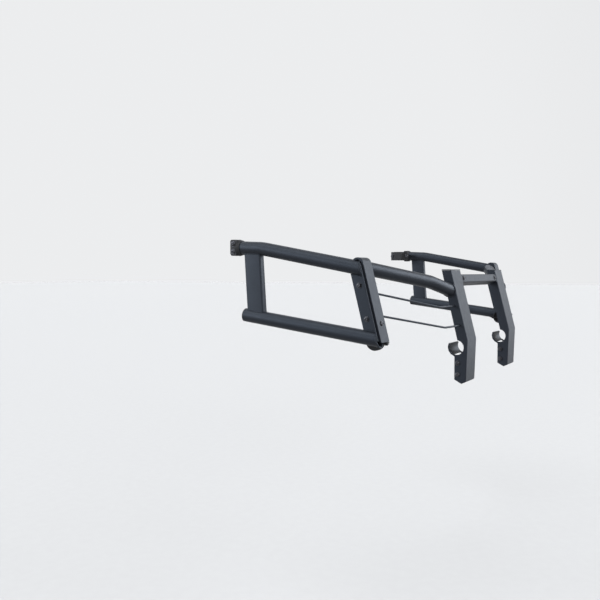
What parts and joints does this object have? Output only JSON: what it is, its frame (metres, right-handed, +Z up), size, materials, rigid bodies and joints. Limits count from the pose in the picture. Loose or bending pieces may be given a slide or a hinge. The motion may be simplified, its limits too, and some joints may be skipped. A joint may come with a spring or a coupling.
{
  "type": "front grille guard",
  "caption": "Tubular front guard for a utility vehicle: leaning sheet uprights hook the bumper tube, bent tubes and rods wrap the corners, and clamps grip the cab pillars.",
  "frame": {"origin": "on the axis of the vehicle's bumper tube, halfway between the two uprights that hook over it", "axes": "+X towards the vehicle's left side, +Y towards its rear (the front of the guard faces -Y), +Z up; mirror-symmetric about X = 0"},
  "size_m": [1.4858, 0.68, 0.4705],
  "materials": {
    "coat": "satin black powder coat with a fine grain",
    "fastener": "black-plated steel button-head screws and nuts",
    "plastic": "matt black push-in plugs"
  },
  "bodies": {
    "root": {"bracket_bolt_lower_left": "fastener", "bracket_bolt_lower_right": "fastener", "bracket_bolt_upper_left": "fastener", "bracket_bolt_upper_right": "fastener", "bracket_cover_left": "coat", "bracket_cover_right": "coat", "bumper_saddle_left": "coat", "bumper_saddle_right": "coat", "bumper_strap_left": "coat", "bumper_strap_right": "coat", "cover_bolt_left": "fastener", "cover_bolt_right": "fastener", "crossbar": "coat", "crossbar_bolt_left": "fastener", "crossbar_bolt_right": "fastener", "crossbar_tab_left": "coat", "crossbar_tab_right": "coat", "front_post_left": "coat", "front_post_right": "coat", "front_tube_left": "coat", "front_tube_right": "coat", "grille_rod_lower_left": "coat", "grille_rod_lower_right": "coat", "grille_rod_upper_left": "coat", "grille_rod_upper_right": "coat", "lower_tube_left": "coat", "lower_tube_plug_left": "plastic", "lower_tube_plug_right": "plastic", "lower_tube_right": "coat", "lug_bolt_lower_left": "fastener", "lug_bolt_lower_right": "fastener", "lug_bolt_upper_left": "fastener", "lug_bolt_upper_right": "fastener", "pillar_bolt_front_left": "fastener", "pillar_bolt_front_right": "fastener", "pillar_bolt_rear_left": "fastener", "pillar_bolt_rear_right": "fastener", "pillar_clamp_block_left": "coat", "pillar_clamp_block_right": "coat", "pillar_clamp_shell_left": "coat", "pillar_clamp_shell_right": "coat", "rear_post_left": "coat", "rear_post_right": "coat", "saddle_bolt_left": "fastener", "saddle_bolt_right": "fastener", "side_tube_left": "coat", "side_tube_right": "coat", "tube_clamp_left": "coat", "tube_clamp_right": "coat", "tube_lug_left": "coat", "tube_lug_right": "coat", "upright_bolt_lower_left": "fastener", "upright_bolt_lower_right": "fastener", "upright_bolt_upper_left": "fastener", "upright_bolt_upper_right": "fastener", "upright_cap_left": "coat", "upright_cap_right": "coat", "upright_left": "coat", "upright_right": "coat"}
  },
  "joints": []
}
